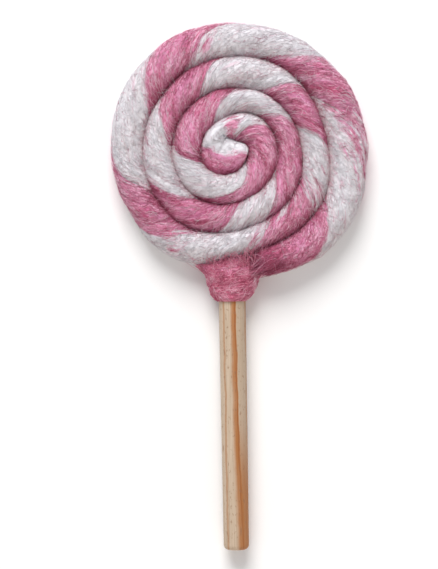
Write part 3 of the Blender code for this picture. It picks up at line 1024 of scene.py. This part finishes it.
def stick_wood(name):
    """Bare softwood, with one band of late wood that widens and wanders right on its way down."""
    material, tree, shader = new_material(name)
    place = add_node(tree, "ShaderNodeTexCoord").outputs["Object"]
    apart = add_node(tree, "ShaderNodeSeparateXYZ", {"Vector": place})
    down = spread(tree, apart.outputs["Y"], STICK_LIP_Y, STICK_END_Y, how="LINEAR")
    over = spread(tree, apart.outputs["X"], STICK_X - STICK_MEAN_RADIUS,
                  STICK_X + STICK_MEAN_RADIUS, how="LINEAR")
    drift = combine(tree, "SUBTRACT", grain(tree, place, (90.0, 75.0, 90.0), shift=0.4), 0.5)
    waver = combine(tree, "SUBTRACT", grain(tree, place, (500.0, 330.0, 500.0), shift=2.0), 0.5)
    lines = grain(tree, place, (2600.0, 60.0, 2600.0), detail=3.0)
    over = combine(tree, "MULTIPLY_ADD", waver, GRAIN_WAVER, over)
    over = combine(tree, "MULTIPLY_ADD", drift, GRAIN_DRIFT, over)
    wander = combine(tree, "MULTIPLY", down, down)
    middle = combine(tree, "MULTIPLY_ADD", wander, BAND_WANDER, BAND_MIDDLE)
    apart_by = combine(tree, "SUBTRACT", over, middle)
    left_edge = spread(tree, down, 0.0, 1.0, *BAND_LEFT)
    rise = spread(tree, apart_by, left_edge, BAND_FULL_FROM)
    fall = spread(tree, apart_by, *BAND_RIGHT)
    fall = combine(tree, "MULTIPLY", fall, spread(tree, down, *RIGHT_EDGE_LOST, 1.0, 0.0))
    band = combine(tree, "MULTIPLY", rise, combine(tree, "SUBTRACT", 1.0, fall))
    core = stripe(tree, apart_by, CORE_EDGES)
    thin = stripe(tree, over, THIN_EDGES)
    wood = ramp(tree, lines, *WOOD_TONES)
    # Painted shade: the stick's right side, past the band, is darker and greyer.
    wood = blended(tree, spread(tree, apart_by, 0.04, 0.10, 0.0, 0.55), wood, SHADED_WOOD)
    wood = blended(tree, combine(tree, "MULTIPLY", thin, 0.6), wood, LATE_WOOD)
    # A dark line down the right edge: partly grain, partly painted shade.
    wood = blended(tree, spread(tree, over, 0.93, 1.0, 0.0, 0.6), wood, LATE_WOOD)
    wood = blended(tree, combine(tree, "MULTIPLY", band, spread(tree, lines, 0.0, 1.0, 1.0, 0.85)),
                   wood, LATE_WOOD)
    wood = blended(tree, combine(tree, "MULTIPLY", core, spread(tree, drift, -0.3, 0.4, 0.6, 1.0)),
                   wood, DARK_WOOD)
    specks = grain(tree, place, (1500.0, 700.0, 1500.0), shift=7.0)
    wood = blended(tree, spread(tree, specks, 0.72, 1.05, 0.0, 0.6), wood, SPECK_WOOD)
    for along, half_length, across, half_width in KNOTS:
        ahead = combine(tree, "SUBTRACT", apart.outputs["Y"], along * MM)
        ahead = combine(tree, "DIVIDE", ahead, half_length * MM)
        aside = combine(tree, "DIVIDE", combine(tree, "SUBTRACT", over, across), half_width)
        away = combine(tree, "ADD", combine(tree, "MULTIPLY", ahead, ahead),
                       combine(tree, "MULTIPLY", aside, aside))
        wood = blended(tree, spread(tree, away, 0.2, 1.2, 0.65, 0.0), wood, SPECK_WOOD)
    tree.links.new(wood, shader.inputs["Base Color"])
    bump = add_node(tree, "ShaderNodeBump", {
        "Height": lines, "Strength": WOOD_ROUGHENED, "Distance": WOOD_BUMP,
    })
    tree.links.new(bump.outputs["Normal"], shader.inputs["Normal"])
    tree.links.new(spread(tree, lines, 0.0, 1.0, 0.66, 0.52), shader.inputs["Roughness"])
    shader.inputs["Specular IOR Level"].default_value = 0.3
    return material


bm = bmesh.new()
bmesh.ops.create_cone(bm, cap_ends=True, segments=STICK_SIDES, radius1=STICK_TOP_RADIUS,
                      radius2=STICK_END_RADIUS, depth=STICK_TOP_Y - STICK_END_Y)
rim = [edge for edge in bm.edges if all(vertex.co.z > 0.0 for vertex in edge.verts)]
bmesh.ops.bevel(bm, geom=rim, offset=STICK_ROUNDING, segments=ROUNDING_SEGMENTS, profile=0.5,
                affect="EDGES", material=-1)
bmesh.ops.rotate(bm, verts=bm.verts, cent=(0.0, 0.0, 0.0),
                 matrix=Matrix.Rotation(math.radians(90.0), 3, "X"))
bmesh.ops.translate(bm, verts=bm.verts,
                    vec=(STICK_X, (STICK_TOP_Y + STICK_END_Y) / 2, ROPE_MIDDLE_Z))
bmesh.ops.recalc_face_normals(bm, faces=bm.faces)
stick = add_piece("softwood_stick", bm, stick_wood("softwood"))
stick.data.set_sharp_from_angle(angle=math.radians(50.0))
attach(stick, "root")
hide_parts("wooden_stick")

# The floor, the light and the camera. The lollipop lies on a pale floor under soft light that
# comes mostly from beyond the disc, and the camera looks straight down on it.
FLOOR_SIZE = 3.0
FLOOR_COLOUR = (0.92, 0.92, 0.92, 1.0)
SKY_COLOUR = (0.95, 0.97, 1.0, 1.0)
SKY_STRENGTH = 0.52
VIEW_CENTRE = (-3.70 * MM, -40.16 * MM)
VIEW_HEIGHT = 0.1792
VIEW_DISTANCE = 0.6947
VIEW_TURN = math.radians(-0.98)
SENSOR_HEIGHT = 24.0

bm = bmesh.new()
bmesh.ops.create_grid(bm, x_segments=1, y_segments=1, size=FLOOR_SIZE / 2)
floor_paint, _, floor_shader = new_material("pale_floor")
floor_shader.inputs["Base Color"].default_value = FLOOR_COLOUR
floor_shader.inputs["Roughness"].default_value = 0.9
add_piece("floor", bm, floor_paint)


def soft_light(name, place, aim, size, power, colour):
    lamp = bpy.data.lights.new(name, "AREA")
    lamp.shape = "DISK"
    lamp.size = size
    lamp.energy = power
    lamp.color = colour
    item = bpy.data.objects.new(name, lamp)
    item.location = place
    item.rotation_euler = (Vector(aim) - Vector(place)).to_track_quat("-Z", "Y").to_euler()
    bpy.context.scene.collection.objects.link(item)


soft_light("window_light", (-0.20, 1.25, 1.05), (0.0, -0.03, 0.0), 1.1, 30.0, (1.0, 0.99, 0.98))
soft_light("room_light", (0.20, -1.20, 0.45), (0.0, -0.03, 0.0), 0.9, 5.0, (1.0, 0.78, 0.60))
sky = bpy.data.worlds.new("studio")
sky.use_nodes = True
sky.node_tree.nodes["Background"].inputs["Color"].default_value = SKY_COLOUR
sky.node_tree.nodes["Background"].inputs["Strength"].default_value = SKY_STRENGTH
bpy.context.scene.world = sky
bpy.context.scene.view_settings.view_transform = "Standard"

lens = bpy.data.cameras.new("camera")
lens.sensor_fit = "VERTICAL"
lens.sensor_height = SENSOR_HEIGHT
lens.lens = SENSOR_HEIGHT * VIEW_DISTANCE / VIEW_HEIGHT
camera = bpy.data.objects.new("camera", lens)
camera.location = (*VIEW_CENTRE, ROPE_MIDDLE_Z + VIEW_DISTANCE)
camera.rotation_euler = (0.0, 0.0, VIEW_TURN)
bpy.context.scene.collection.objects.link(camera)
bpy.context.scene.camera = camera

bpy.context.view_layer.update()
